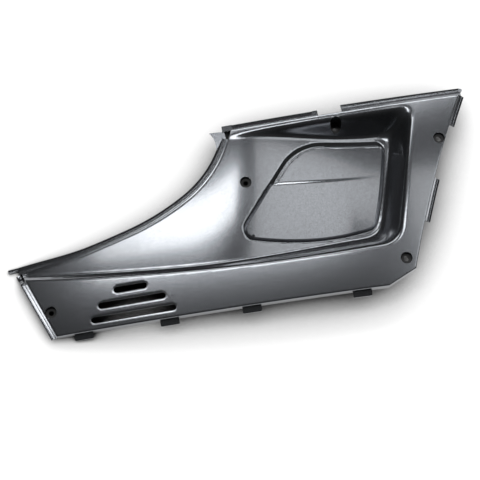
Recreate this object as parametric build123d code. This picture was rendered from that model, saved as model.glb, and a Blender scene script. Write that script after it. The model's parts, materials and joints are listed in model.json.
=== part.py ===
"""Side cover: one moulded panel with a deep scoop, an inset pad, vents, screw seats and tuck-in flanges.

Lengths are in millimetres. The panel lies face up: +Z leaves the painted face, +X runs along the
bottom edge from the low tip to the tall end, and +Y runs from the bottom edge to the top edge.
"""
from build123d import *
import math
import os

# Wall and skirt
WALL = 2.6
SKIRT_DEPTH = 11.0

# Crown of the face: a shallow dome, higher at the tall end
APEX_HEIGHT = 49.6
APEX_X = 119.0
LENGTH_RADIUS = 2200.0
CROSS_RADIUS = 900.0

# Corners of the face in plan, and places that its hollow edge passes through
TIP = (-265.0, -31.0)
LOW_LEFT = (-232.0, -109.0)
BOTTOM_RIGHT = (152.0, -109.0)
RIGHT_LOW = (186.0, -93.0)
RIGHT_MIDDLE = (228.0, 13.0)
TOP_RIGHT = (279.0, 116.5)
TOP_LEFT = (-1.0, 107.5)
HOLLOW_EDGE = ((-133.0, -4.0), (-64.0, 26.0), (-18.0, 72.0))
HOLLOW_START_ANGLE = 7.5

# Tuck-in flanges: set down below the face, with a ledge half way down, and how far each stands out
FLANGE_DROP = 3.2
LEDGE_DROP = 1.5
FLANGE_THICKNESS = 2.2
HOLLOW_LIP_REACH = 9.0
HOLLOW_LEDGE_REACH = 4.5
HOLLOW_LIP_START = (-283.0, -25.0)
HOLLOW_LIP_ROOT = ((-260.0, -41.0), (0.0, -40.0), (4.0, 107.5))
FLAP_FOOT = (-21.5, 84.0)
FLAP_MIDDLE = (-21.0, 95.0)
FLAP_TIP = (-26.5, 107.5)
LEFT_LIP = ((-279.0, -31.0), (-238.0, -109.0))
LEFT_LIP_ROOT = ((-226.0, -103.0), (-259.0, -34.0))
FLANGE_ROOT = 4.0
TOP_FLANGES = ((1.0, 105.0, 7.0), (134.0, 281.0, 9.5))
TOP_LEDGE = (134.0, 281.0, 5.0)
END_BLOCKS = ((-11.0, 1.5, 7.0), (98.5, 105.0, 7.0), (134.0, 145.0, 9.5))
BLOCK_DROP = 0.6
BLOCK_HEIGHT = 4.8
END_POST_PLACE = (281.2, 122.4)
END_POST_DIAMETER = 4.6
END_POST_DROP = 0.5
END_POST_HEIGHT = 4.9
RIGHT_TABS = ((-39.0, 12.0), (77.0, 119.0))
RIGHT_TAB_REACH = 6.0
RIGHT_LEDGE_REACH = 3.0
RIGHT_TAB_ROOT_X = 180.0
RIGHT_TAB_END_X = 300.0
BOTTOM_TABS = (-201.0, -101.0, -6.0, 121.5)
BOTTOM_TAB_WIDTH = 22.0
BOTTOM_TAB_REACH = 6.0
BOTTOM_TAB_ROUND = 1.5

# Pad in the scoop's floor, with a groove round it and a crease across it
PAD_LOW_LEFT = (-14.0, -26.5)
PAD_BOTTOM = (72.0, -38.5)
PAD_LOW_RIGHT = (155.0, -31.0)
PAD_RIGHT = (173.8, 29.0)
PAD_TOP_RIGHT = (184.5, 80.5)
PAD_TOP_LEFT = (73.5, 86.0)
LOW_LEFT_ROUND = 11.0
LOW_RIGHT_ROUND = 18.0
TOP_RIGHT_ROUND = 13.0
TOP_LEFT_ROUND = 38.0
GROOVE_WIDTH = 4.8
GROOVE_DEPTH = 2.6
UPPER_FIELD_SHIFT = (2.6, -2.4)
CREASE_Y = 33.0
CREASE_DROP = 1.1
CREASE_START = 37.0
CREASE_END = 160.0

# Screw seats: a round dish with a clearance hole in its floor, on a boss behind the face
SCREW_PLACES = ((-235.6, -80.0), (7.8, 39.4), (176.7, -80.0), (242.0, 61.4), (125.0, 99.0))
SCREW_HOLE = 6.0
DISH_DIAMETER = 13.6
DISH_DEPTH = 3.4
BOSS_WALL = 2.2
BOSS_FLOOR = 2.6
BOSS_RISE = 60.0

# Vents
VENT_CENTRE_X = -141.0
VENT_LENGTHS = (38.0, 78.0, 98.0)
VENT_TOP_Y = -67.0
VENT_PITCH = 15.2
VENT_WIDTH = 6.8

# Scoop: its rim in plan, and its floor's depth below the crown
SCOOP_LOW_X = 70.0
SCOOP_LOW_Y = -66.5
SCOOP_LOW_RADIUS = 2100.0
SCOOP_RIGHT_X = 194.0
SCOOP_RIGHT_LEAN = 0.27
SCOOP_TOP_Y = 102.5
SCOOP_TOP_LEAN = 0.045
SCOOP_LEFT_DEPTH = 7.0
SCOOP_LOW_DEPTH = 39.0
SCOOP_TOP_DEPTH = 35.5
SCOOP_LOW_START = -70.0
SCOOP_TOP_START = -12.0
SCOOP_FALL_LENGTH = 200.0
SLOPE_BASE = 8.0
SLOPE_GROWTH = 0.55
SCOOP_CORNER_BLEND = 0.7

# Net of points that a skin is drawn through: rows follow the scoop's lower edge, columns its right one
NET_LEFT = -320.0
NET_RIGHT = 320.0
NET_BELOW = 85.0
NET_ABOVE = 215.0
NET_COLUMN_STEP = 5.0
NET_ROW_STEP = 4.0
NET_TOLERANCE = 0.3
SKIN_REACH = 150.0
DOME_COARSENESS = 5

# Span that a plan shape is carried through, well past the panel's lowest and highest places
PLAN_FOOT = -20.0
PLAN_RISE = 100.0
PLAN_SPAN = 400.0

# Fineness of the points that the panel's extent is measured from
EXTENT_TOLERANCE = 0.1


def ease(t):
    """A soft step from 0 to 1, level at both ends."""
    t = min(max(t, 0.0), 1.0)
    return t * t * (3 - 2 * t)


def soft_min(a, b, blend):
    """The lesser of two values, with the corner between them rounded."""
    share = min(max(0.5 + 0.5 * (b - a) / blend, 0.0), 1.0)
    return b + (a - b) * share - blend * share * (1 - share)


def crown(x, y):
    """Height of the domed face before the scoop is pressed into it."""
    return APEX_HEIGHT - (x - APEX_X) ** 2 / (2 * LENGTH_RADIUS) - y**2 / (2 * CROSS_RADIUS)


def low_edge(x):
    return SCOOP_LOW_Y + (x - SCOOP_LOW_X) ** 2 / (2 * SCOOP_LOW_RADIUS)


def top_edge(x):
    return SCOOP_TOP_Y + SCOOP_TOP_LEAN * x


def right_edge(y):
    return SCOOP_RIGHT_X + SCOOP_RIGHT_LEAN * y


def low_depth(x):
    fall = ease((x - SCOOP_LOW_START) / SCOOP_FALL_LENGTH)
    return SCOOP_LEFT_DEPTH + (SCOOP_LOW_DEPTH - SCOOP_LEFT_DEPTH) * fall


def top_depth(x):
    return SCOOP_TOP_DEPTH * ease((x - SCOOP_TOP_START) / SCOOP_FALL_LENGTH)


def scoop_depth(x, y):
    """Depth of the scoop's floor, blended from its lower edge to its upper one."""
    share = (y - low_edge(x)) / (top_edge(x) - low_edge(x))
    share = min(max(share, 0.0), 1.0)
    return low_depth(x) * (1 - share) + top_depth(x) * share


def slope_run(depth):
    """Width in plan of the slope that leads down to a floor of this depth."""
    return SLOPE_BASE + SLOPE_GROWTH * depth


def face_height(x, y):
    depth = scoop_depth(x, y)
    run = slope_run(depth)
    from_low = (y - low_edge(x)) / run
    from_top = (top_edge(x) - y) / run
    from_right = (right_edge(y) - x) / math.hypot(1, SCOOP_RIGHT_LEAN) / run
    inward = soft_min(soft_min(from_low, from_right, SCOOP_CORNER_BLEND), from_top, SCOOP_CORNER_BLEND)
    return crown(x, y) - depth * ease(inward)


def inset_height(x, y, inset):
    """Height of the skin that lies the inset below the face, measured square to it."""
    step = 0.5
    slope_x = (face_height(x + step, y) - face_height(x - step, y)) / (2 * step)
    slope_y = (face_height(x, y + step) - face_height(x, y - step)) / (2 * step)
    return face_height(x, y) - inset * math.sqrt(1 + slope_x**2 + slope_y**2)


def spaced(start, end, step):
    """Even places from start to end, about a step apart."""
    count = round((end - start) / step)
    return [start + (end - start) * i / count for i in range(count + 1)]


def skin(height, coarseness=1):
    """A surface that is given by its height at each place."""
    net = []
    for column_x in spaced(NET_LEFT, NET_RIGHT, NET_COLUMN_STEP * coarseness):
        column = []
        for offset_y in spaced(-NET_BELOW, NET_ABOVE, NET_ROW_STEP * coarseness):
            x = column_x + SCOOP_RIGHT_LEAN * (low_edge(column_x) + offset_y)
            y = low_edge(x) + offset_y
            column.append(Vector(x, y, height(x, y)))
        net.append(column)
    return Face.make_surface_from_array_of_points(net, tol=NET_TOLERANCE, min_deg=3, max_deg=3)


def slab(surface, drop=0.0, thickness=SKIN_REACH):
    """What lies under a surface that is let down by the drop, to a thickness."""
    return Solid.extrude(Pos(0, 0, -drop) * surface, Vector(0, 0, -thickness))


def upright(plan):
    """A plan shape carried straight up through the whole height of the panel."""
    return extrude(Pos(0, 0, PLAN_FOOT) * plan, amount=PLAN_RISE)


def hollow_edge():
    """The face's long hollow edge: arcs that run smoothly into each other, from the tip upwards."""
    places = [TIP, *HOLLOW_EDGE, TOP_LEFT]
    angle = math.radians(HOLLOW_START_ANGLE)
    tangent = (math.cos(angle), math.sin(angle))
    arcs = []
    for start, end in zip(places, places[1:]):
        arcs.append(TangentArc(start, end, tangent=tangent))
        tangent = arcs[-1] % 1
    return arcs


def face_plan():
    """Outline of the painted face."""
    edges = [
        Line(TIP, LOW_LEFT),
        Line(LOW_LEFT, BOTTOM_RIGHT),
        Line(BOTTOM_RIGHT, RIGHT_LOW),
        ThreePointArc(RIGHT_LOW, RIGHT_MIDDLE, TOP_RIGHT),
        Line(TOP_RIGHT, TOP_LEFT),
    ]
    return make_face(Curve() + edges + hollow_edge())


def pad_plan(grow=0.0):
    """The pad's outline with its groove, or that outline grown or shrunk."""
    edges = [
        ThreePointArc(PAD_LOW_LEFT, PAD_BOTTOM, PAD_LOW_RIGHT),
        ThreePointArc(PAD_LOW_RIGHT, PAD_RIGHT, PAD_TOP_RIGHT),
        Line(PAD_TOP_RIGHT, PAD_TOP_LEFT),
        Line(PAD_TOP_LEFT, PAD_LOW_LEFT),
    ]
    plan = make_face(Curve() + edges)
    rounds = {
        PAD_LOW_LEFT: LOW_LEFT_ROUND,
        PAD_LOW_RIGHT: LOW_RIGHT_ROUND,
        PAD_TOP_RIGHT: TOP_RIGHT_ROUND,
        PAD_TOP_LEFT: TOP_LEFT_ROUND,
    }
    for corner, radius in rounds.items():
        nearest = plan.vertices().sort_by_distance(corner)[0]
        plan = fillet(nearest, radius)
    return offset(plan, grow) if grow else plan


def upper_half():
    """The part of the plan above the crease."""
    return Pos(0, CREASE_Y) * Rectangle(2 * PLAN_SPAN, PLAN_SPAN, align=(Align.CENTER, Align.MIN))


def upper_field(grow=0.0):
    """The pad's field above the crease, drawn in further from the groove's outer edge at its left and top."""
    inner = pad_plan(grow - GROOVE_WIDTH)
    return inner & (Pos(*UPPER_FIELD_SHIFT) * inner) & upper_half()


def lower_field(grow=0.0):
    """The pad's field below the crease."""
    return pad_plan(grow - GROOVE_WIDTH) - upper_half()


def top_edge_at(x):
    """The face's top edge in plan."""
    share = (x - TOP_LEFT[0]) / (TOP_RIGHT[0] - TOP_LEFT[0])
    return TOP_LEFT[1] + (TOP_RIGHT[1] - TOP_LEFT[1]) * share


def beside_hollow(reach):
    """A strip along the face's hollow edge, with the part of the face that carries it."""
    above_tip = (HOLLOW_LIP_START[0], FLAP_TIP[1])
    field = Polyline(HOLLOW_LIP_START, *HOLLOW_LIP_ROOT, FLAP_TIP, above_tip, close=True)
    return offset(face_plan(), reach) & make_face(field)


def beside_top(start, end, reach):
    """A strip along a stretch of the face's top edge."""
    corners = [
        (start, top_edge_at(start) - FLANGE_ROOT),
        (end, top_edge_at(end) - FLANGE_ROOT),
        (end, top_edge_at(end) + reach),
        (start, top_edge_at(start) + reach),
    ]
    return make_face(Polyline(*corners, close=True))


def beside_right(low, high, reach):
    """A strip along a stretch of the face's bowed right edge."""
    corners = [
        (RIGHT_TAB_ROOT_X, low),
        (RIGHT_TAB_END_X, low),
        (RIGHT_TAB_END_X, high),
        (RIGHT_TAB_ROOT_X, high),
    ]
    return offset(face_plan(), reach) & make_face(Polyline(*corners, close=True))


def flange_plan():
    """The lower strips of all flanges, with the flap at the hollow lip's top end."""
    flap_root = (FLAP_FOOT[0] + 2 * HOLLOW_LIP_REACH, FLAP_FOOT[1])
    flap = [
        ThreePointArc(FLAP_FOOT, FLAP_MIDDLE, FLAP_TIP),
        Line(FLAP_TIP, TOP_LEFT),
        Line(TOP_LEFT, flap_root),
        Line(flap_root, FLAP_FOOT),
    ]
    plan = beside_hollow(HOLLOW_LIP_REACH) + make_face(Curve() + flap)
    plan += make_face(Polyline(TIP, *LEFT_LIP, LOW_LEFT, *LEFT_LIP_ROOT, close=True))
    for start, end, reach in TOP_FLANGES:
        plan += beside_top(start, end, reach)
    for low, high in RIGHT_TABS:
        plan += beside_right(low, high, RIGHT_TAB_REACH)
    return plan


def ledge_plan():
    """The upper steps of the flanges that have one."""
    plan = beside_hollow(HOLLOW_LEDGE_REACH) + beside_top(*TOP_LEDGE)
    for low, high in RIGHT_TABS:
        plan += beside_right(low, high, RIGHT_LEDGE_REACH)
    return plan


def block_plan():
    """The blocks at the ends of the top flanges."""
    plan = Sketch()
    for start, end, reach in END_BLOCKS:
        plan += beside_top(start, end, reach)
    return plan


def bottom_plan():
    """The tabs along the foot of the skirt."""
    plan = Sketch()
    for x in BOTTOM_TABS:
        tab = RectangleRounded(BOTTOM_TAB_WIDTH, 2 * BOTTOM_TAB_REACH, BOTTOM_TAB_ROUND)
        plan += Pos(x, LOW_LEFT[1]) * tab
    return plan


def crease_height(x, y):
    """The pad's upper field, set down at its left end and level with the lower field at its right."""
    fade = 1 - ease((x - CREASE_START) / (CREASE_END - CREASE_START))
    return face_height(x, y) - CREASE_DROP * fade


def seat_height(x, y):
    """Floor of a screw's dish, measured down from the lowest place on the dish's rim."""
    rim = [(DISH_DIAMETER / 2 * math.cos(turn), DISH_DIAMETER / 2 * math.sin(turn))
           for turn in (math.pi / 4 * step for step in range(8))]
    return min(face_height(x + dx, y + dy) for dx, dy in rim) - DISH_DEPTH


def post(x, y, foot, radius):
    """A round post that stands on its foot and runs up past the face."""
    return Pos(x, y, foot) * Cylinder(radius, BOSS_RISE, align=(Align.CENTER, Align.CENTER, Align.MIN))


def screw_bosses():
    """The posts behind the face that carry the screw dishes."""
    bosses = Part()
    for x, y in SCREW_PLACES:
        bosses += post(x, y, seat_height(x, y) - BOSS_FLOOR, DISH_DIAMETER / 2 + BOSS_WALL)
    return bosses


def screw_cuts():
    """The dishes and the clearance holes in their floors."""
    cuts = Part()
    for x, y in SCREW_PLACES:
        cuts += post(x, y, seat_height(x, y), DISH_DIAMETER / 2)
        cuts += post(x, y, seat_height(x, y) - 2 * BOSS_FLOOR, SCREW_HOLE / 2)
    return cuts


def vent_plan():
    """Three long slots, one below another."""
    plan = Sketch()
    for row, length in enumerate(VENT_LENGTHS):
        plan += Pos(VENT_CENTRE_X, VENT_TOP_Y - row * VENT_PITCH) * SlotOverall(length, VENT_WIDTH)
    return plan


def build_cover():
    plan = face_plan()
    core = offset(plan, -WALL)
    face = skin(face_height)
    back = skin(lambda x, y: inset_height(x, y, WALL))
    dome = skin(crown, DOME_COARSENESS)
    block = upright(plan) & slab(face)
    skirt_gap = upright(offset(plan, SKIRT_DEPTH)) & slab(dome, SKIRT_DEPTH)
    hollow = (upright(core) + skirt_gap) & slab(back)
    cover = block - hollow

    cover += upright(flange_plan() - core) & slab(face, FLANGE_DROP, FLANGE_THICKNESS)
    cover += upright(ledge_plan() - core) & slab(face, LEDGE_DROP, FLANGE_THICKNESS)
    cover += upright(block_plan() - core) & slab(face, BLOCK_DROP, BLOCK_HEIGHT)
    end_post = Pos(*END_POST_PLACE) * Circle(END_POST_DIAMETER / 2)
    cover += upright(end_post) & slab(face, END_POST_DROP, END_POST_HEIGHT)
    tab_drop = SKIRT_DEPTH - FLANGE_THICKNESS
    cover += upright(bottom_plan() - core) & slab(dome, tab_drop, FLANGE_THICKNESS)
    cover += screw_bosses() & block

    groove_back = upright(pad_plan(WALL) - upper_field(-WALL) - lower_field(-WALL)) & block
    cover += groove_back - slab(back, GROOVE_DEPTH)
    groove = upright(pad_plan() - upper_field() - lower_field())
    cover -= groove - slab(face, GROOVE_DEPTH)
    cover -= upright(upper_field()) - slab(skin(crease_height))

    cover -= screw_cuts()
    cover -= upright(vent_plan())
    return cover


def stood_on_origin(cover):
    """The cover moved so that the origin is under its middle, on the surface that it lies on."""
    points, _ = cover.tessellate(EXTENT_TOLERANCE)
    xs = [point.X for point in points]
    ys = [point.Y for point in points]
    lowest = min(point.Z for point in points)
    return Pos(-(min(xs) + max(xs)) / 2, -(min(ys) + max(ys)) / 2, -lowest) * cover


os.makedirs("parts", exist_ok=True)
side_cover = stood_on_origin(build_cover().solid())
export_step(side_cover, "parts/side_cover.step")
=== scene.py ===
"""Looks of the side cover: the moulding, drawn fine and smooth, in graphite metallic paint."""

import json
import math

import bpy
import numpy as np
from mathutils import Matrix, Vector, kdtree
from mathutils.geometry import delaunay_2d_cdt


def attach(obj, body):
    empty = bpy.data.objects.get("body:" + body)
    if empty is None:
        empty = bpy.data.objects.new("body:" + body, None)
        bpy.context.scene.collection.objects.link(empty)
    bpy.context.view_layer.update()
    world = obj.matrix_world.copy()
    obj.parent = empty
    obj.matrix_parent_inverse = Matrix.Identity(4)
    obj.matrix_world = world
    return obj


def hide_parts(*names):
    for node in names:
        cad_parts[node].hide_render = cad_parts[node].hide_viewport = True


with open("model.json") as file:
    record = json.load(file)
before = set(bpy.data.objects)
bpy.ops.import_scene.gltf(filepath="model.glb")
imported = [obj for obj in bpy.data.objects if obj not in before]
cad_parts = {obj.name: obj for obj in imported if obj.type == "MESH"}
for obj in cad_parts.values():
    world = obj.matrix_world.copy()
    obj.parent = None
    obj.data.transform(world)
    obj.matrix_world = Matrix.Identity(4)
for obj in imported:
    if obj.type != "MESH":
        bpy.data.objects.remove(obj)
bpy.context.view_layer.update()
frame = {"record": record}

# Lengths are millimetres in the moulding's own coordinates until a mesh is made.
MM = 0.001

# Wall, skirt and edge rounding
WALL = 2.6
SKIRT_DEPTH = 11.0
EDGE_ROUND = 1.3
EDGE_STEPS = (0.1, 0.4, 0.8, EDGE_ROUND)

# Crown of the face
APEX_HEIGHT = 49.6
APEX_X = 119.0
LENGTH_RADIUS = 2200.0
CROSS_RADIUS = 900.0

# Outline of the face
TIP = (-265.0, -31.0)
LOW_LEFT = (-232.0, -109.0)
BOTTOM_RIGHT = (152.0, -109.0)
RIGHT_LOW = (186.0, -93.0)
RIGHT_MIDDLE = (228.0, 13.0)
TOP_RIGHT = (279.0, 116.5)
TOP_LEFT = (-1.0, 107.5)
HOLLOW_EDGE = ((-133.0, -4.0), (-64.0, 26.0), (-18.0, 72.0))
HOLLOW_START_ANGLE = 7.5

# Rounding of the rails, and the least room under them
RAIL_ROUND = 0.45
RAIL_CLEARANCE = 1.0

# Rails along the face's edge: from and to outside the edge, drop under the face, thickness, tilt
HOLLOW_LEDGE = (-1.2, 5.2, 1.5, 2.2, 0.0)
HOLLOW_BEADS = ((1.3, 2.2, 0.8, 1.2, 0.0), (3.3, 4.2, 0.9, 1.2, 0.0))
HOLLOW_WEB = (-0.6, 5.2, 2.4, 2.0, 0.0)
HOLLOW_STRIP = (4.6, 9.0, 2.6, 2.4, 24.0)
HOLLOW_LEDGE_END_Y = 96.0
HOLLOW_TONGUE = 16.5
HOLLOW_FLARE = 5.0
HOLLOW_FLARE_START = -180.0
HOLLOW_FLARE_LENGTH = 90.0
LEFT_WEB = (-1.2, 3.0, 4.6, 2.0, 0.0)
LEFT_STRIP = (2.2, 7.0, 2.6, 2.2, 3.0)
LEFT_NICK = 5.0
TOP_STRIP_1 = (-1.2, 7.0, 1.6, 2.6, 24.0)
TOP_LEDGE_2 = (-1.2, 5.4, 1.5, 2.4, 0.0)
TOP_STRIP_2 = (5.0, 9.5, 2.6, 2.4, 24.0)
TOP_RUNS = ((1.0, 105.0), (134.0, 281.0))
RIGHT_LEDGE = (-1.2, 3.2, 1.5, 2.4, 16.0)
RIGHT_STRIP = (2.8, 6.0, 2.8, 2.2, 27.0)
RIGHT_TABS = ((-39.0, 12.0), (77.0, 119.0))

# Flap, blocks, post and bottom tabs
FLAP_FOOT = (-21.5, 84.0)
FLAP_MIDDLE = (-21.0, 95.0)
FLAP_TIP = (-26.5, 107.5)
FLAP_ROOT = ((-13.0, 84.0), (-7.4, 94.6), (-8.8, 106.5))
FLAP_DROP = 2.4
FLAP_SLOPE = (0.05, 0.03)
FLAP_THICKNESS = 2.2
# Painted shade: a black sheet under the gap between the flap and the face, and how far under the face it
# lies.
GAP_SHADE_SHEET = ((-9.5, 90.0), (0.0, 93.0), (0.5, 108.0), (-10.5, 107.5))
GAP_SHADE_SHEET_DROP = 7.0
END_BLOCKS = ((-11.0, 1.5, 7.0), (98.5, 105.0, 7.0), (134.0, 145.0, 9.5))
BLOCK_ROOT = 1.2
BLOCK_DROP = 0.3
BLOCK_HEIGHT = 4.8
BLOCK_SLOPE = 0.18
END_POST_PLACE = (281.2, 122.4)
END_POST_DIAMETER = 4.6
END_POST_DROP = 0.5
END_POST_HEIGHT = 4.9
BOTTOM_TABS = (-201.0, -101.0, -6.0, 121.5)
BOTTOM_TAB_WIDTH = 22.0
BOTTOM_TAB_REACH = 6.0
BOTTOM_TAB_ROUND = 1.5
SMALL_ROUND = 0.05
BOTTOM_TAB_THICKNESS = 2.2
BOTTOM_TAB_SLOPE = 0.3

# Pad, groove and crease
PAD_LOW_LEFT = (-14.0, -26.5)
PAD_BOTTOM = (72.0, -38.5)
PAD_LOW_RIGHT = (155.0, -31.0)
PAD_RIGHT = (173.8, 29.0)
PAD_TOP_RIGHT = (184.5, 80.5)
PAD_TOP_LEFT = (73.5, 86.0)
PAD_ROUNDS = (15.0, 18.0, 13.0, 66.0)
GROOVE_WIDTH = 4.8
GROOVE_DEPTH = 2.6
GROOVE_FALL_SHARE = 0.7
GROOVE_STEPS = (0.0, 0.2, 0.45, 0.7, 0.8, 0.9, 1.0)
UPPER_GROOVE_STEPS = (0.7, 0.8, 0.9, 1.0)
UPPER_FIELD_SHIFT = (2.6, -2.4)
CREASE_Y = 33.0
CREASE_DROP = 1.1
CREASE_SIDE = 3.3
CREASE_STEPS = (0.0, 0.33, 0.67, 1.0)
CREASE_LEFT = 20.0
CREASE_START = 37.0
CREASE_END = 176.0

# Screw seats
SCREW_PLACES = ((-235.6, -80.0), (7.8, 39.4), (176.7, -80.0), (242.0, 61.4), (125.0, 99.0))
SCREW_HOLE = 6.0
DISH_DIAMETER = 13.6
DISH_DEPTH = 3.4
DISH_SIDE = 0.5
SEAT_RIM_SAMPLES = 8
BOSS_WALL = 2.2
BOSS_FLOOR = 2.6

# Vents
VENT_CENTRE_X = -141.0
VENT_LENGTHS = (38.0, 78.0, 98.0)
VENT_TOP_Y = -67.0
VENT_PITCH = 15.2
VENT_WIDTH = 6.8
VENT_ROUND = 0.9
VENT_STEPS = (0.12, 0.4, VENT_ROUND)

# Scoop
SCOOP_LOW_X = 70.0
SCOOP_LOW_Y = -66.5
SCOOP_LOW_RADIUS = 2100.0
SCOOP_RIGHT_X = 194.0
SCOOP_RIGHT_LEAN = 0.27
SCOOP_TOP_Y = 102.5
SCOOP_TOP_LEAN = 0.045
SCOOP_LEFT_DEPTH = 7.0
SCOOP_LOW_DEPTH = 39.0
SCOOP_TOP_DEPTH = 35.5
SCOOP_LOW_START = -70.0
SCOOP_TOP_START = -12.0
SCOOP_FALL_LENGTH = 200.0
SLOPE_BASE = 8.0
SLOPE_GROWTH = 0.55
SCOOP_CORNER_BLEND = 0.7
SCOOP_RIM_STEPS = (0.4, 1.3, 2.3, 3.5, 5.0)
SCOOP_RIM_MARGIN = 6.0

# Fineness of the meshes
GRID = 2.2
ROW_SHARE = 0.87
CURVE_STEP = 1.6
CORNER_STEPS = 12
CIRCLE_POINTS = 48
MITRE_LIMIT = 0.3
CLEAR_OF_LINES = 0.45
SHARP_ANGLE = 40.0


# Shape of the face

def ease(t):
    """A soft step from 0 to 1, level at both ends."""
    t = np.clip(t, 0.0, 1.0)
    return t * t * (3 - 2 * t)


def soft_ease(t):
    """A step from 0 to 1 that starts and ends more gently than ease, for edges that catch the light."""
    t = np.clip(t, 0.0, 1.0)
    return t**3 * (10 - 15 * t + 6 * t * t)


def soft_min(a, b, blend):
    """The lesser of two values, with the corner between them rounded."""
    share = np.clip(0.5 + 0.5 * (b - a) / blend, 0.0, 1.0)
    return b + (a - b) * share - blend * share * (1 - share)


def crown(x, y):
    return APEX_HEIGHT - (x - APEX_X) ** 2 / (2 * LENGTH_RADIUS) - y**2 / (2 * CROSS_RADIUS)


def low_edge(x):
    return SCOOP_LOW_Y + (x - SCOOP_LOW_X) ** 2 / (2 * SCOOP_LOW_RADIUS)


def top_edge(x):
    return SCOOP_TOP_Y + SCOOP_TOP_LEAN * x


def face_height(x, y):
    """Height of the painted face: the crown with the scoop pressed into it."""
    low_fall = ease((x - SCOOP_LOW_START) / SCOOP_FALL_LENGTH)
    low_depth = SCOOP_LEFT_DEPTH + (SCOOP_LOW_DEPTH - SCOOP_LEFT_DEPTH) * low_fall
    top_depth = SCOOP_TOP_DEPTH * ease((x - SCOOP_TOP_START) / SCOOP_FALL_LENGTH)
    share = np.clip((y - low_edge(x)) / (top_edge(x) - low_edge(x)), 0.0, 1.0)
    depth = low_depth * (1 - share) + top_depth * share
    run = SLOPE_BASE + SLOPE_GROWTH * depth
    from_low = (y - low_edge(x)) / run
    from_top = (top_edge(x) - y) / run
    right_edge = SCOOP_RIGHT_X + SCOOP_RIGHT_LEAN * y
    from_right = (right_edge - x) / math.hypot(1, SCOOP_RIGHT_LEAN) / run
    inward = soft_min(soft_min(from_low, from_right, SCOOP_CORNER_BLEND), from_top, SCOOP_CORNER_BLEND)
    return crown(x, y) - depth * soft_ease(inward)


def inset_height(x, y, inset):
    """Height of the skin that lies the inset below the face, measured square to it."""
    step = 0.5
    slope_x = (face_height(x + step, y) - face_height(x - step, y)) / (2 * step)
    slope_y = (face_height(x, y + step) - face_height(x, y - step)) / (2 * step)
    return face_height(x, y) - inset * np.sqrt(1 + slope_x**2 + slope_y**2)


# Lines in plan

def straight(start, end):
    """Points from start up to, but not including, the end."""
    start, end = np.array(start), np.array(end)
    count = max(1, round(np.linalg.norm(end - start) / CURVE_STEP))
    return [tuple(start + (end - start) * i / count) for i in range(count)]


def arc(start, middle, end):
    """Points along the arc through three places, without the last one."""
    (ax, ay), (bx, by), (cx, cy) = start, middle, end
    d = 2 * (ax * (by - cy) + bx * (cy - ay) + cx * (ay - by))
    a, b, c = ax * ax + ay * ay, bx * bx + by * by, cx * cx + cy * cy
    ox = (a * (by - cy) + b * (cy - ay) + c * (ay - by)) / d
    oy = (a * (cx - bx) + b * (ax - cx) + c * (bx - ax)) / d
    radius = math.hypot(ax - ox, ay - oy)
    turn = math.atan2(ay - oy, ax - ox)
    sweep = math.atan2(cy - oy, cx - ox) - turn
    middle_turn = math.atan2(by - oy, bx - ox) - turn
    sweep %= 2 * math.pi
    if middle_turn % (2 * math.pi) > sweep:
        sweep -= 2 * math.pi
    count = max(2, round(abs(sweep) * radius / CURVE_STEP))
    turns = [turn + sweep * i / count for i in range(count)]
    return [(ox + radius * math.cos(t), oy + radius * math.sin(t)) for t in turns]


def hollow_edge():
    """The face's long hollow edge, as arcs that run smoothly into each other from the tip upwards."""
    places = [TIP, *HOLLOW_EDGE, TOP_LEFT]
    turn = math.radians(HOLLOW_START_ANGLE)
    tangent = np.array([math.cos(turn), math.sin(turn)])
    points = []
    for start, end in zip(places, places[1:]):
        chord = np.array(end) - np.array(start)
        along = chord / np.linalg.norm(chord)
        side = np.array([along[1], -along[0]])
        bulge = math.tan(math.atan2(tangent @ side, tangent @ along) / 2)
        middle = np.array(start) + chord / 2 + side * bulge * np.linalg.norm(chord) / 2
        points += arc(start, tuple(middle), end)
        tangent = 2 * (tangent @ along) * along - tangent
    return points + [places[-1]]


def face_outline():
    loop = straight(TIP, LOW_LEFT) + straight(LOW_LEFT, BOTTOM_RIGHT) + straight(BOTTOM_RIGHT, RIGHT_LOW)
    loop += arc(RIGHT_LOW, RIGHT_MIDDLE, TOP_RIGHT) + straight(TOP_RIGHT, TOP_LEFT)
    return np.array(loop + hollow_edge()[:0:-1])


def trimmed(side, start, end):
    """A line without a stretch at its start and its end, with points at even steps."""
    runs = np.linalg.norm(np.diff(side, axis=0), axis=1)
    length = np.concatenate([[0], np.cumsum(runs)])
    count = max(1, round((length[-1] - start - end) / CURVE_STEP))
    places = np.linspace(start, length[-1] - end, count + 1)
    return np.stack([np.interp(places, length, side[:, i]) for i in (0, 1)], 1)


def rounded(sides, rounds):
    """A closed outline from its sides, with the corner before each side rounded."""
    sides = [np.array(side) for side in sides]
    corners = []
    for before, after, radius in zip([sides[-1], *sides], sides, rounds):
        back = before[-2] - before[-1]
        on = after[1] - after[0]
        half = math.acos(np.dot(back, on) / np.linalg.norm(back) / np.linalg.norm(on)) / 2
        corners.append((radius / math.tan(half), math.sin(half)))
    loop = []
    for i, side in enumerate(sides):
        cut = trimmed(side, corners[i][0], corners[(i + 1) % len(sides)][0])
        before = trimmed(sides[i - 1], corners[i - 1][0], corners[i][0])
        weight = corners[i][1]
        for t in np.linspace(0, 1, CORNER_STEPS + 1)[1:-1]:
            shares = np.array([(1 - t) ** 2, 2 * t * (1 - t) * weight, t**2])
            loop.append(shares @ np.array([before[-1], side[0], cut[0]]) / shares.sum())
        loop += list(cut)
    return np.array(loop)


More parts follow.
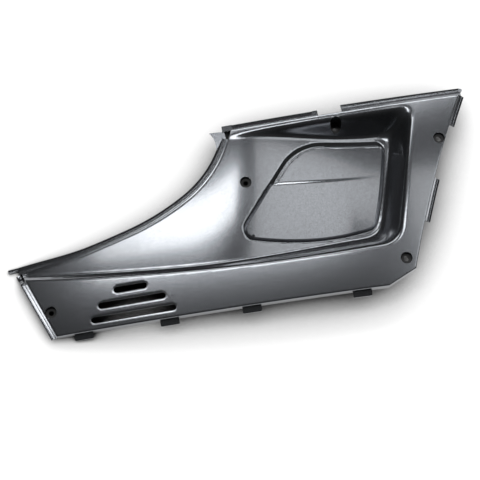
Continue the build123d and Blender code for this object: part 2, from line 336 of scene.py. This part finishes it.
def grown(loop, distance):
    """A closed anticlockwise line set outwards by the distance, with its corners kept sharp."""
    before, after = np.roll(loop, 1, 0), np.roll(loop, -1, 0)
    into = (loop - before) / np.linalg.norm(loop - before, axis=1)[:, None]
    out = (after - loop) / np.linalg.norm(after - loop, axis=1)[:, None]
    side_in = np.stack([into[:, 1], -into[:, 0]], 1)
    side_out = np.stack([out[:, 1], -out[:, 0]], 1)
    middle = side_in + side_out
    middle /= np.linalg.norm(middle, axis=1)[:, None]
    stretch = 1 / np.maximum((middle * side_in).sum(1), MITRE_LIMIT)
    return loop + middle * (stretch * distance)[:, None]


def circle(centre, radius, count=CIRCLE_POINTS):
    x, y = centre
    turns = [2 * math.pi * i / count for i in range(count)]
    return np.array([(x + radius * math.cos(t), y + radius * math.sin(t)) for t in turns])


def slot(centre, length, width):
    """A long slot's outline, with round ends."""
    half, radius = (length - width) / 2, width / 2
    x, y = centre
    loop = arc((x + half, y - radius), (x + half + radius, y), (x + half, y + radius))
    loop += straight((x + half, y + radius), (x - half, y + radius))
    loop += arc((x - half, y + radius), (x - half - radius, y), (x - half, y - radius))
    loop += straight((x - half, y - radius), (x + half, y - radius))
    return np.array(loop)


def pad_outline():
    """Outer edge of the groove round the pad."""
    sides = [
        arc(PAD_LOW_LEFT, PAD_BOTTOM, PAD_LOW_RIGHT) + [PAD_LOW_RIGHT],
        arc(PAD_LOW_RIGHT, PAD_RIGHT, PAD_TOP_RIGHT) + [PAD_TOP_RIGHT],
        [PAD_TOP_RIGHT, PAD_TOP_LEFT],
        [PAD_TOP_LEFT, PAD_LOW_LEFT],
    ]
    return rounded(sides, PAD_ROUNDS)


def inside(points, loop):
    """Which points lie inside a closed line."""
    x, y = points[:, 0], points[:, 1]
    result = np.zeros(len(points), bool)
    for (ax, ay), (bx, by) in zip(loop, np.roll(loop, -1, 0)):
        if ay == by:
            continue
        crosses = ((ay > y) != (by > y)) & (x < (bx - ax) * (y - ay) / (by - ay) + ax)
        result ^= crosses
    return result


def depth_inside(points, loop):
    """Distance from a closed line, above zero inside it."""
    nearest = np.full(len(points), np.inf)
    for start, end in zip(loop, np.roll(loop, -1, 0)):
        run = end - start
        share = np.clip(((points - start) @ run) / max(run @ run, 1e-9), 0, 1)
        gap = points - start - share[:, None] * run
        nearest = np.minimum(nearest, (gap * gap).sum(1))
    nearest = np.sqrt(nearest)
    return np.where(inside(points, loop), nearest, -nearest)


# Meshes

def net(rim, holes=(), guides=(), lines=()):
    """Anticlockwise triangles that fill a rim round its holes, with edges along each loop and line."""
    points, edges = [], []
    for loop in [rim, *holes, *guides]:
        first = len(points)
        points += [tuple(p) for p in loop]
        edges += [(first + i, first + (i + 1) % len(loop)) for i in range(len(loop))]
    for line in lines:
        first = len(points)
        points += [tuple(p) for p in line]
        edges += [(first + i, first + i + 1) for i in range(len(line) - 1)]
    tree = kdtree.KDTree(len(points))
    for i, (x, y) in enumerate(points):
        tree.insert((x, y, 0), i)
    tree.balance()
    low, high = rim.min(0), rim.max(0)
    rows = np.arange(low[1] + GRID / 2, high[1], GRID * ROW_SHARE)
    grid = np.array([(x + (GRID / 2 if row % 2 else 0), y) for row, y in enumerate(rows)
                     for x in np.arange(low[0] + GRID / 2, high[0], GRID)])
    kept = grid[inside(grid, rim)]
    points += [tuple(p) for p in kept if tree.find((p[0], p[1], 0))[2] > CLEAR_OF_LINES * GRID]
    places, _, faces, _, _, _ = delaunay_2d_cdt([Vector(p) for p in points], edges, [], 0, 1e-5)
    places = np.array([tuple(p) for p in places])
    faces = np.array([f for f in faces if len(f) == 3])
    middles = places[faces].mean(1)
    wanted = inside(middles, rim)
    for hole in holes:
        wanted &= ~inside(middles, hole)
    faces = faces[wanted]
    a, b, c = places[faces[:, 0]], places[faces[:, 1]], places[faces[:, 2]]
    turn = (b[:, 0] - a[:, 0]) * (c[:, 1] - a[:, 1]) - (b[:, 1] - a[:, 1]) * (c[:, 0] - a[:, 0])
    faces[turn < 0] = faces[turn < 0][:, ::-1]
    return places, faces


def rim_edges(faces):
    """The edges that only one of the faces has, in that face's direction."""
    edges = {(int(f[i]), int(f[(i + 1) % 3])) for f in faces for i in range(3)}
    return [edge for edge in edges if edge[::-1] not in edges]


def finished(name, points, faces):
    """A smooth-shaded piece with its place in its mesh."""
    mesh = bpy.data.meshes.new(name)
    mesh.from_pydata(((np.asarray(points) + SHIFT) * MM).tolist(), [], faces)
    mesh.validate()
    return shown(name, mesh)


def shown(name, mesh):
    """A mesh as a piece at the origin, shaded smooth up to its sharp edges."""
    mesh.shade_smooth()
    mesh.set_sharp_from_angle(angle=math.radians(SHARP_ANGLE))
    piece = bpy.data.objects.new(name, mesh)
    bpy.context.scene.collection.objects.link(piece)
    return piece


def plate(name, rim, top, back):
    """A closed solid between two heights, with upright walls at its rim."""
    places, faces = net(rim)
    count = len(places)
    points = np.vstack([np.column_stack([places, top(places)]), np.column_stack([places, back(places)])])
    solid = [tuple(f) for f in faces] + [tuple(f[::-1] + count) for f in faces]
    solid += [(b, a, a + count, b + count) for a, b in rim_edges(faces)]
    return finished(name, points, solid)


OUTLINE = face_outline()
CORE = grown(OUTLINE, -WALL)
PAD = pad_outline()
VENTS = [slot((VENT_CENTRE_X, VENT_TOP_Y - row * VENT_PITCH), length, VENT_WIDTH)
         for row, length in enumerate(VENT_LENGTHS)]
HOLES = [circle(place, SCREW_HOLE / 2) for place in SCREW_PLACES]


def seat_height(place):
    """Floor of a screw's dish, measured down from the lowest place on its rim."""
    rim = circle(place, DISH_DIAMETER / 2, SEAT_RIM_SAMPLES)
    return face_height(rim[:, 0], rim[:, 1]).min() - DISH_DEPTH


def mount_shift():
    """From the moulding's own coordinates to the frame's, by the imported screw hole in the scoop."""
    packed = next(m for m in frame["record"]["mounts"] if m["name"] == "screw_scoop")["pos_m"]
    own = (*SCREW_PLACES[1], seat_height(SCREW_PLACES[1]) - BOSS_FLOOR / 2)
    return np.array(packed) / MM - np.array(own)


SHIFT = mount_shift()


def rounding(depth, radius):
    """How far a rounded edge falls below the sharp one, at a depth in from it."""
    left = np.clip(radius - depth, 0, radius)
    return radius - np.sqrt(radius**2 - left**2)


def in_field(points, in_pad):
    """Distance in from the groove's outer edge; the upper field keeps further off at left and top."""
    shifted = depth_inside(points - np.array(UPPER_FIELD_SHIFT), PAD)
    upper = ease((points[:, 1] - CREASE_Y) / CREASE_SIDE)
    return in_pad * (1 - upper) + np.minimum(in_pad, shifted) * upper


def painted_top(points):
    """Height of the painted side: the face with its groove, crease, dishes and rounded edges."""
    x, y = points[:, 0], points[:, 1]
    height = face_height(x, y)
    in_pad = depth_inside(points, PAD)
    field = in_field(points, in_pad)
    width = GROOVE_WIDTH + in_pad - field
    fall = GROOVE_FALL_SHARE * width
    on_pad = ease((in_pad - fall) / (width - fall))
    down = np.clip(in_pad / fall, 0, 1)
    trench = (down + ease(down)) / 2 * (1 - on_pad)
    fade = 1 - ease((x - CREASE_START) / (CREASE_END - CREASE_START))
    upper = np.clip((y - CREASE_Y) / CREASE_SIDE, 0, 1)
    height = height - GROOVE_DEPTH * trench - CREASE_DROP * fade * upper * on_pad
    for place in SCREW_PLACES:
        away = np.hypot(x - place[0], y - place[1])
        in_dish = 1 - ease((away - DISH_DIAMETER / 2 + DISH_SIDE) / DISH_SIDE)
        height = height * (1 - in_dish) + seat_height(place) * in_dish
    height -= rounding(depth_inside(points, OUTLINE), EDGE_ROUND)
    for vent in VENTS:
        height -= rounding(-depth_inside(points, vent), VENT_ROUND)
    return height


def moulded_back(points):
    """Height of the unpainted side: the face's wall let down under the groove, with the screw bosses."""
    x, y = points[:, 0], points[:, 1]
    height = inset_height(x, y, WALL)
    in_pad = depth_inside(points, PAD)
    field = in_field(points, in_pad)
    height -= GROOVE_DEPTH * ease((in_pad + WALL) / WALL) * ease((GROOVE_WIDTH + WALL - field) / WALL)
    for place in SCREW_PLACES:
        away = np.hypot(x - place[0], y - place[1])
        foot = seat_height(place) - BOSS_FLOOR
        in_boss = 1 - ease((away - DISH_DIAMETER / 2 - BOSS_WALL) / DISH_SIDE)
        height = height * (1 - in_boss) + np.minimum(height, foot) * in_boss
    return np.maximum(height, -SHIFT[2])


def skirt_foot(points):
    """Height of the turned-down skirt's lower edge."""
    return np.minimum(crown(points[:, 0], points[:, 1]) - SKIRT_DEPTH, moulded_back(points))


def make_shell():
    """The face, its skirt and its back in one closed mesh."""
    guides = [CORE, *[grown(OUTLINE, -step) for step in EDGE_STEPS]]
    guides += [grown(PAD, -step * GROOVE_WIDTH) for step in GROOVE_STEPS]
    upper_pad = PAD + np.array(UPPER_FIELD_SHIFT)
    guides += [grown(upper_pad, -step * GROOVE_WIDTH) for step in UPPER_GROOVE_STEPS]
    crease = np.array(straight((CREASE_LEFT, CREASE_Y), (CREASE_END, CREASE_Y)))
    lines = [crease + (0, step * CREASE_SIDE) for step in CREASE_STEPS]
    rim_x = np.arange(TIP[0] + SCOOP_RIM_MARGIN, RIGHT_LOW[0] - SCOOP_RIM_MARGIN, CURVE_STEP)
    lines += [np.column_stack([rim_x, low_edge(rim_x) + step]) for step in SCOOP_RIM_STEPS]
    for place in SCREW_PLACES:
        dish, boss = DISH_DIAMETER / 2, DISH_DIAMETER / 2 + BOSS_WALL
        radii = (dish - DISH_SIDE, dish - DISH_SIDE / 2, dish, boss, boss + DISH_SIDE)
        guides += [circle(place, radius) for radius in radii]
    for vent in VENTS:
        guides += [grown(vent, step) for step in VENT_STEPS]
    places, faces = net(OUTLINE, [*VENTS, *HOLES], guides, lines)
    in_core = inside(places[faces].mean(1), CORE)
    heights = (painted_top, moulded_back, skirt_foot)
    levels = [np.column_stack([places, height(places)]) for height in heights]
    back, foot = len(places), 2 * len(places)
    solid = [tuple(f) for f in faces]
    solid += [tuple(f[::-1] + back) for f in faces[in_core]]
    solid += [tuple(f[::-1] + foot) for f in faces[~in_core]]
    rims = set(rim_edges(faces))
    core_rims = set(rim_edges(faces[in_core]))
    for a, b in rims:
        level = back if (a, b) in core_rims else foot
        solid.append((b, a, a + level, b + level))
    solid += [(a + back, b + back, b + foot, a + foot) for a, b in core_rims - rims]
    shell = finished("cover_shell", np.vstack(levels), solid)
    middles = places[faces].mean(1)
    seat_radius = (DISH_DIAMETER - DISH_SIDE) / 2
    # Painted shade: the faces in the screw seats' dishes take the black moulded plastic, so that the
    # dishes look dark as in shade.
    shaded_seats = [np.hypot(*(middles - place).T) < seat_radius for place in SCREW_PLACES]
    bare_and_shaded = np.zeros(len(solid), int)
    bare_and_shaded[:len(faces)] = np.any(shaded_seats, 0)
    bare_and_shaded[len(faces):len(faces) + in_core.sum()] = 1
    shell.data.materials.append(PAINT)
    shell.data.materials.append(BARE_AND_SHADE)
    shell.data.polygons.foreach_set("material_index", bare_and_shaded)
    return shell


# Rails, flap, blocks and tabs

def rail_tree():
    """A rounded bar swept along a path, set out to the path's right side and down by its own sizes."""
    tree = bpy.data.node_groups.new("moulded_rail", "GeometryNodeTree")
    tree.interface.new_socket("Path", in_out="INPUT", socket_type="NodeSocketGeometry")
    for label in ("From", "To", "Drop", "Thickness", "Round", "Tilt"):
        tree.interface.new_socket(label, in_out="INPUT", socket_type="NodeSocketFloat")
    tree.interface.new_socket("Finish", in_out="INPUT", socket_type="NodeSocketMaterial")
    tree.interface.new_socket("Rail", in_out="OUTPUT", socket_type="NodeSocketGeometry")
    given = add(tree, "NodeGroupInput").outputs
    curve = add(tree, "GeometryNodeMeshToCurve", {"Mesh": given["Path"]})
    level = add(tree, "GeometryNodeSetCurveNormal", {"Curve": curve.outputs[0]}, mode="Z_UP")
    width = add(tree, "ShaderNodeMath", {0: given["To"], 1: given["From"]}, operation="SUBTRACT")
    bar = add(tree, "GeometryNodeCurvePrimitiveQuadrilateral",
              {"Width": width.outputs[0], "Height": given["Thickness"]})
    soft = add(tree, "GeometryNodeFilletCurve", {"Curve": bar.outputs[0], "Radius": given["Round"]},
               mode="POLY", Count=3)
    ends = add(tree, "ShaderNodeMath", {0: given["To"], 1: given["From"]}, operation="ADD")
    across = add(tree, "ShaderNodeMath", {0: ends.outputs[0]}, {1: 0.5}, operation="MULTIPLY")
    half = add(tree, "ShaderNodeMath", {0: given["Thickness"]}, {1: 0.5}, operation="MULTIPLY")
    down = add(tree, "ShaderNodeMath", {0: half.outputs[0], 1: given["Drop"]}, operation="ADD")
    place = add(tree, "ShaderNodeCombineXYZ", {"X": across.outputs[0], "Y": down.outputs[0]})
    turn = add(tree, "ShaderNodeCombineXYZ", {"Z": given["Tilt"]})
    profile = add(tree, "GeometryNodeTransform", {
        "Geometry": soft.outputs[0], "Translation": place.outputs[0], "Rotation": turn.outputs[0]})
    swept = add(tree, "GeometryNodeCurveToMesh",
                {"Curve": level.outputs[0], "Profile Curve": profile.outputs[0]}, {"Fill Caps": True})
    real = add(tree, "GeometryNodeRealizeInstances", {"Geometry": swept.outputs[0]})
    finish = add(tree, "GeometryNodeSetMaterial",
                 {"Geometry": real.outputs[0], "Material": given["Finish"]})
    add(tree, "NodeGroupOutput", {"Rail": finish.outputs[0]})
    return tree


def rail(name, plan, sizes):
    """A rail along a stretch of the face's edge, given in plan with the outside on its right."""
    plan = np.array(plan)
    start, end, drop, thickness, tilt = sizes
    lowest = drop + thickness + RAIL_CLEARANCE - SHIFT[2]
    path = np.column_stack([plan, np.maximum(face_height(plan[:, 0], plan[:, 1]), lowest)])
    mesh = bpy.data.meshes.new(name + "_path")
    mesh.from_pydata(((path + SHIFT) * MM).tolist(), [(i, i + 1) for i in range(len(path) - 1)], [])
    holder = bpy.data.objects.new(name + "_path", mesh)
    bpy.context.scene.collection.objects.link(holder)
    modifier = holder.modifiers.new("sweep", "NODES")
    modifier.node_group = RAIL_TREE
    values = {"From": start * MM, "To": end * MM, "Drop": drop * MM, "Thickness": thickness * MM,
              "Round": RAIL_ROUND * MM, "Tilt": math.radians(tilt), "Finish": PAINT}
    for socket in RAIL_TREE.interface.items_tree:
        if socket.name in values:
            modifier[socket.identifier] = values[socket.name]
    swept = bpy.data.meshes.new_from_object(holder.evaluated_get(bpy.context.evaluated_depsgraph_get()))
    bpy.data.objects.remove(holder)
    return shown(name, swept)


def below(height, drop):
    """A surface that lies the drop under another."""
    return lambda points: height(points) - drop


def face_over(points):
    return face_height(points[:, 0], points[:, 1])


def flap_top(points):
    """The flap is flat and nearly level, so that it mirrors the high light and looks pale."""
    root = np.array(FLAP_ROOT[1])
    return face_height(*root) - FLAP_DROP + (points - root) @ np.array(FLAP_SLOPE)


def block_top(points):
    """The blocks fall away from the face, past the light from behind, so that they look dark."""
    past_edge = points[:, 1] - top_edge_at(points[:, 0])[1]
    return face_over(points) - BLOCK_DROP - BLOCK_SLOPE * past_edge


def bottom_tab_back(points):
    """The tabs leave the skirt's foot and fall slightly outwards."""
    foot = crown(points[:, 0], points[:, 1]) - SKIRT_DEPTH
    return foot + BOTTOM_TAB_SLOPE * np.minimum(points[:, 1] - LOW_LEFT[1], 0)


def top_edge_at(x):
    """The face's top edge in plan."""
    share = (x - TOP_LEFT[0]) / (TOP_RIGHT[0] - TOP_LEFT[0])
    return (x, TOP_LEFT[1] + (TOP_RIGHT[1] - TOP_LEFT[1]) * share)


def path_through(corners):
    """An open line with points at even steps between its corners, without the last one."""
    return sum((straight(a, b) for a, b in zip(corners, corners[1:])), [])


def hollow_rails():
    """The lip along the hollow edge: a ledge with two beads, and a strip that flares into a tongue."""
    edge = hollow_edge()[::-1]
    ledge = [p for p in edge if p[1] <= HOLLOW_LEDGE_END_Y]
    turn = math.radians(HOLLOW_START_ANGLE)
    tongue = (TIP[0] - HOLLOW_TONGUE * math.cos(turn), TIP[1] - HOLLOW_TONGUE * math.sin(turn))
    flared = np.array(ledge[:-1] + straight(TIP, tongue) + [tongue])
    flared[:, 1] += HOLLOW_FLARE * ease((HOLLOW_FLARE_START - flared[:, 0]) / HOLLOW_FLARE_LENGTH)
    made = [rail("hollow_ledge", ledge, HOLLOW_LEDGE), rail("hollow_strip", flared, HOLLOW_STRIP)]
    made.append(rail("hollow_web", flared[flared[:, 0] > TIP[0] - HOLLOW_LEDGE[1]], HOLLOW_WEB))
    made += [rail(f"hollow_bead_{row + 1}", ledge, sizes) for row, sizes in enumerate(HOLLOW_BEADS)]
    return made


def edge_rails():
    """The lips and flanges along the straight left and top edges and the bowed right edge."""
    left = straight(TIP, LOW_LEFT) + [LOW_LEFT]
    along = (np.array(LOW_LEFT) - TIP) / math.dist(LOW_LEFT, TIP)
    nicked = straight(TIP - along * LEFT_NICK, TIP) + left
    tops = [[top_edge_at(end), top_edge_at(start)] for start, end in TOP_RUNS]
    tops = [straight(*ends) + [ends[1]] for ends in tops]
    bow = arc(RIGHT_LOW, RIGHT_MIDDLE, TOP_RIGHT) + [TOP_RIGHT]
    made = [rail("left_web", left, LEFT_WEB), rail("left_strip", nicked, LEFT_STRIP)]
    made += [rail("top_strip_1", tops[0], TOP_STRIP_1), rail("top_ledge_2", tops[1], TOP_LEDGE_2)]
    made.append(rail("top_strip_2", tops[1], TOP_STRIP_2))
    for row, (low, high) in enumerate(RIGHT_TABS):
        stretch = [p for p in bow if low <= p[1] <= high]
        made.append(rail(f"right_ledge_{row + 1}", stretch, RIGHT_LEDGE))
        made.append(rail(f"right_strip_{row + 1}", stretch, RIGHT_STRIP))
    return made


def make_plates():
    """The flap, a black sheet of painted shade under its gap, the blocks and post on the top flanges,
    and the bottom tabs.
    """
    outer = arc(FLAP_TIP, FLAP_MIDDLE, FLAP_FOOT)
    flap = np.array(path_through([FLAP_FOOT, *FLAP_ROOT, FLAP_TIP]) + outer)
    made = [plate("hollow_flap", flap, flap_top, below(flap_top, FLAP_THICKNESS))]
    # Painted shade: a black sheet under the gap beside the flap, so that the gap looks dark.
    web = np.array(path_through([*GAP_SHADE_SHEET, GAP_SHADE_SHEET[0]]))
    gap_shade_sheet_top = below(face_over, GAP_SHADE_SHEET_DROP)
    made.append(plate("gap_shade_sheet", web, gap_shade_sheet_top, below(gap_shade_sheet_top, FLAP_THICKNESS)))
    made[-1].data.materials.append(BARE_AND_SHADE)
    for row, (start, end, reach) in enumerate(END_BLOCKS):
        low_start, low_end = top_edge_at(start), top_edge_at(end)
        corners = [(start, low_start[1] - BLOCK_ROOT), (end, low_end[1] - BLOCK_ROOT),
                   (end, low_end[1] + reach), (start, low_start[1] + reach)]
        rim = np.array(path_through([*corners, corners[0]]))
        made.append(plate(f"end_block_{row + 1}", rim, block_top, below(block_top, BLOCK_HEIGHT)))
    post_top = below(face_over, END_POST_DROP)
    post = circle(END_POST_PLACE, END_POST_DIAMETER / 2)
    made.append(plate("end_post", post, post_top, below(post_top, END_POST_HEIGHT)))
    for row, x in enumerate(BOTTOM_TABS):
        half, low, high = BOTTOM_TAB_WIDTH / 2, LOW_LEFT[1] - BOTTOM_TAB_REACH, LOW_LEFT[1] + BLOCK_ROOT
        corners = [(x - half, low), (x + half, low), (x + half, high), (x - half, high)]
        sides = [[a, b] for a, b in zip(corners, [*corners[1:], corners[0]])]
        rim = rounded(sides, (BOTTOM_TAB_ROUND, BOTTOM_TAB_ROUND, SMALL_ROUND, SMALL_ROUND))
        top = below(bottom_tab_back, -BOTTOM_TAB_THICKNESS)
        made.append(plate(f"bottom_tab_{row + 1}", rim, top, bottom_tab_back))
    return made


# Materials

def linear(hex_colour):
    """An sRGB hex colour as the linear colour that a shader takes."""
    parts = [int(hex_colour[i:i + 2], 16) / 255 for i in (1, 3, 5)]
    return (*[p / 12.92 if p <= 0.04045 else ((p + 0.055) / 1.055) ** 2.4 for p in parts], 1.0)


def add(tree, kind, links=None, values=None, **settings):
    """A node with links from other nodes' sockets, values on its own sockets, and its settings."""
    node = tree.nodes.new(kind)
    for key, value in settings.items():
        if key in node.inputs:
            node.inputs[key].default_value = value
        else:
            setattr(node, key, value)
    for socket, value in (values or {}).items():
        node.inputs[socket].default_value = value
    for socket, source in (links or {}).items():
        tree.links.new(source, node.inputs[socket])
    return node


def graphite_paint():
    """Sprayed graphite metallic coat under clear lacquer: a soft sheen with fine sparkle under gloss."""
    material = bpy.data.materials.new("graphite_metallic_paint")
    material.use_nodes = True
    tree = material.node_tree
    tree.nodes.clear()
    place = add(tree, "ShaderNodeTexCoord")
    # Real flakes are about 0.03 mm across, and drawn 0.7 mm across so that they still show as grain.
    flakes = add(tree, "ShaderNodeTexVoronoi", {"Vector": place.outputs["Object"]}, Scale=1400.0)
    tone = add(tree, "ShaderNodeValToRGB", {"Fac": flakes.outputs["Color"]})
    tone.color_ramp.elements[0].color = linear("#6c6f73")
    tone.color_ramp.elements[1].color = linear("#85888d")
    # Sprayed lacquer has a faint orange peel, some 2 mm from crest to crest.
    peel = add(tree, "ShaderNodeTexNoise", {"Vector": place.outputs["Object"]}, Scale=500.0, Detail=1.0)
    skin = add(tree, "ShaderNodeBump", {"Height": peel.outputs["Fac"]}, Strength=0.03, Distance=0.0002)
    shader = add(tree, "ShaderNodeBsdfPrincipled", {"Base Color": tone.outputs["Color"],
                                                    "Coat Normal": skin.outputs["Normal"]},
                 {"Coat Weight": 1.0, "Coat Roughness": 0.1}, Metallic=0.9, Roughness=0.22)
    add(tree, "ShaderNodeOutputMaterial", {"Surface": shader.outputs["BSDF"]})
    return material


def bare_plastic():
    """Black ABS as it leaves a textured mould: dull, nearly black, with a fine spark-eroded grain. It is
    the unpainted back, and painted shade in the screw dishes and under the flap's gap.
    """
    material = bpy.data.materials.new("moulded_black_abs_and_painted_shade")
    material.use_nodes = True
    tree = material.node_tree
    tree.nodes.clear()
    place = add(tree, "ShaderNodeTexCoord")
    # The mould's grain is about 0.3 mm, and drawn at 0.9 mm so that it shows.
    grain = add(tree, "ShaderNodeTexNoise", {"Vector": place.outputs["Object"]},
                Scale=1100.0, Detail=2.0)
    tone = add(tree, "ShaderNodeValToRGB", {"Fac": grain.outputs["Fac"]})
    tone.color_ramp.elements[0].position, tone.color_ramp.elements[0].color = 0.35, linear("#161718")
    tone.color_ramp.elements[1].position, tone.color_ramp.elements[1].color = 0.65, linear("#232425")
    rough = add(tree, "ShaderNodeMapRange", {"Value": grain.outputs["Fac"]},
                {"To Min": 0.5, "To Max": 0.7})
    skin = add(tree, "ShaderNodeBump", {"Height": grain.outputs["Fac"]}, Strength=0.35, Distance=0.0003)
    shader = add(tree, "ShaderNodeBsdfPrincipled", {"Base Color": tone.outputs["Color"],
                                                    "Roughness": rough.outputs["Result"],
                                                    "Normal": skin.outputs["Normal"]})
    add(tree, "ShaderNodeOutputMaterial", {"Surface": shader.outputs["BSDF"]})
    return material


PAINT = graphite_paint()
BARE_AND_SHADE = bare_plastic()
RAIL_TREE = rail_tree()
shell = make_shell()
for piece in [shell, *hollow_rails(), *edge_rails(), *make_plates()]:
    if not piece.data.materials:
        piece.data.materials.append(PAINT)
    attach(piece, "root")
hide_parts("side_cover")


# Floor, light and camera

FLOOR_HALF = 6.0
LAMP_HEIGHT = 2.4
# Painted shade on the floor: the occlusion's reach, and the occlusion levels at which the paper is
# darkest and fully open.
PAINTED_SHADE_REACH = 0.1
PAINTED_SHADE_DARK = 0.4
PAINTED_SHADE_OPEN = 0.97

# Each lamp's name, place over the floor, size, and how bright its face is
SOFTBOXES = (
    ("key_softbox", (-0.18, 0.595), (1.16, 0.46), 7.0),
    ("key_wing", (-0.88, 0.58), (0.36, 0.45), 5.0),
    ("side_softbox", (1.25, 0.42), (0.86, 1.3), 1.7),
    ("right_softbox", (2.1, 0.60), (0.8, 0.9), 3.0),
    ("back_softbox", (0.1, 2.45), (2.2, 0.9), 5.0),
    ("crease_softbox", (1.7, 2.8), (1.0, 0.8), 8.0),
)


def make_floor():
    """White paper sweep that glows towards the camera and in reflections; close to the cover its colour
    and glow are darkened as painted shade.
    """
    mesh = bpy.data.meshes.new("floor")
    corners = [(-1, -1), (1, -1), (1, 1), (-1, 1)]
    mesh.from_pydata([(x * FLOOR_HALF, y * FLOOR_HALF, 0) for x, y in corners], [], [(0, 1, 2, 3)])
    floor = bpy.data.objects.new("floor", mesh)
    bpy.context.scene.collection.objects.link(floor)
    material = bpy.data.materials.new("white_paper_with_painted_shade")
    material.use_nodes = True
    tree = material.node_tree
    tree.nodes.clear()
    path = add(tree, "ShaderNodeLightPath")
    mirrored = add(tree, "ShaderNodeMath", operation="MAXIMUM",
                   links={0: path.outputs["Is Glossy Ray"], 1: path.outputs["Is Transmission Ray"]})
    seen = add(tree, "ShaderNodeMath", {0: path.outputs["Is Camera Ray"], 1: mirrored.outputs[0]},
               operation="MAXIMUM")
    # Painted shade: ambient occlusion darkens the paper and dims its glow close to the cover, as a
    # painted contact shadow.
    nearness = add(tree, "ShaderNodeAmbientOcclusion", Distance=PAINTED_SHADE_REACH)
    painted_shade_openness = add(tree, "ShaderNodeMapRange", {"Value": nearness.outputs["AO"]},
                   {"From Min": PAINTED_SHADE_DARK, "From Max": PAINTED_SHADE_OPEN})
    strength = add(tree, "ShaderNodeMath", {0: seen.outputs[0], 1: painted_shade_openness.outputs[0]},
                   operation="MULTIPLY")
    glow = add(tree, "ShaderNodeEmission", {"Strength": strength.outputs[0]}, Color=linear("#f0f0f0"))
    # Painted shade: the paper's colour runs from near black where occluded to pale grey in the open.
    paper = add(tree, "ShaderNodeValToRGB", {"Fac": painted_shade_openness.outputs[0]})
    paper.color_ramp.elements[0].color = linear("#202020")
    paper.color_ramp.elements[1].color = linear("#c8c8c8")
    base = add(tree, "ShaderNodeBsdfDiffuse", {"Color": paper.outputs["Color"]})
    both = add(tree, "ShaderNodeAddShader", {0: base.outputs[0], 1: glow.outputs[0]})
    add(tree, "ShaderNodeOutputMaterial", {"Surface": both.outputs[0]})
    mesh.materials.append(material)


def make_world():
    """A dim room, darker towards the horizon, with white paper for the camera and through glass."""
    world = bpy.data.worlds.new("studio")
    bpy.context.scene.world = world
    world.use_nodes = True
    tree = world.node_tree
    tree.nodes.clear()
    place = add(tree, "ShaderNodeTexCoord")
    parts = add(tree, "ShaderNodeSeparateXYZ", {"Vector": place.outputs["Generated"]})
    tone = add(tree, "ShaderNodeValToRGB", {"Fac": parts.outputs["Z"]})
    tone.color_ramp.elements[0].position, tone.color_ramp.elements[0].color = 0.1, linear("#1c1c1c")
    tone.color_ramp.elements[1].position, tone.color_ramp.elements[1].color = 1.0, linear("#4a4a4a")
    light = add(tree, "ShaderNodeBackground", {"Color": tone.outputs["Color"]}, Strength=1.0)
    paper = add(tree, "ShaderNodeBackground", Color=linear("#f8f8f8"))
    path = add(tree, "ShaderNodeLightPath")
    # Gloss sees the dim room, because the real paint mirrors one.
    seen = add(tree, "ShaderNodeMath", operation="MAXIMUM",
               links={0: path.outputs["Is Camera Ray"], 1: path.outputs["Is Transmission Ray"]})
    both = add(tree, "ShaderNodeMixShader",
               {"Fac": seen.outputs[0], 1: light.outputs[0], 2: paper.outputs[0]})
    add(tree, "ShaderNodeOutputWorld", {"Surface": both.outputs[0]})


def softbox(name, place, size, radiance):
    """A rectangular lamp at the lamps' height that faces straight down, with the given radiance."""
    lamp = bpy.data.lights.new(name, "AREA")
    lamp.shape = "RECTANGLE"
    lamp.size, lamp.size_y = size
    lamp.energy = radiance * math.pi * size[0] * size[1]
    holder = bpy.data.objects.new(name, lamp)
    bpy.context.scene.collection.objects.link(holder)
    holder.location = (*place, LAMP_HEIGHT)


CAMERA_AZIMUTH = math.radians(-8.0)
CAMERA_ELEVATION = math.radians(72.0)
CAMERA_TARGET = np.array([-9.0, -32.0, 44.0])
CAMERA_DISTANCE = 1350.0
SENSOR = 36.0
FRAME_WIDTH_PIXELS = 480
MM_PER_PIXEL = 1.15


def make_camera():
    """The photograph's camera, high over the bottom edge of the cover."""
    back = Vector((math.sin(CAMERA_AZIMUTH) * math.cos(CAMERA_ELEVATION),
                   -math.cos(CAMERA_AZIMUTH) * math.cos(CAMERA_ELEVATION), math.sin(CAMERA_ELEVATION)))
    camera = bpy.data.cameras.new("camera")
    camera.sensor_width = SENSOR
    camera.lens = SENSOR * CAMERA_DISTANCE / MM_PER_PIXEL / FRAME_WIDTH_PIXELS
    holder = bpy.data.objects.new("camera", camera)
    bpy.context.scene.collection.objects.link(holder)
    target = Vector(((CAMERA_TARGET + SHIFT) * MM).tolist())
    holder.location = target + back * CAMERA_DISTANCE * MM
    holder.rotation_euler = (-back).to_track_quat("-Z", "Y").to_euler()
    bpy.context.scene.camera = holder


make_floor()
make_world()
make_camera()
for lamp in SOFTBOXES:
    softbox(*lamp)
bpy.context.scene.view_settings.view_transform = "Standard"
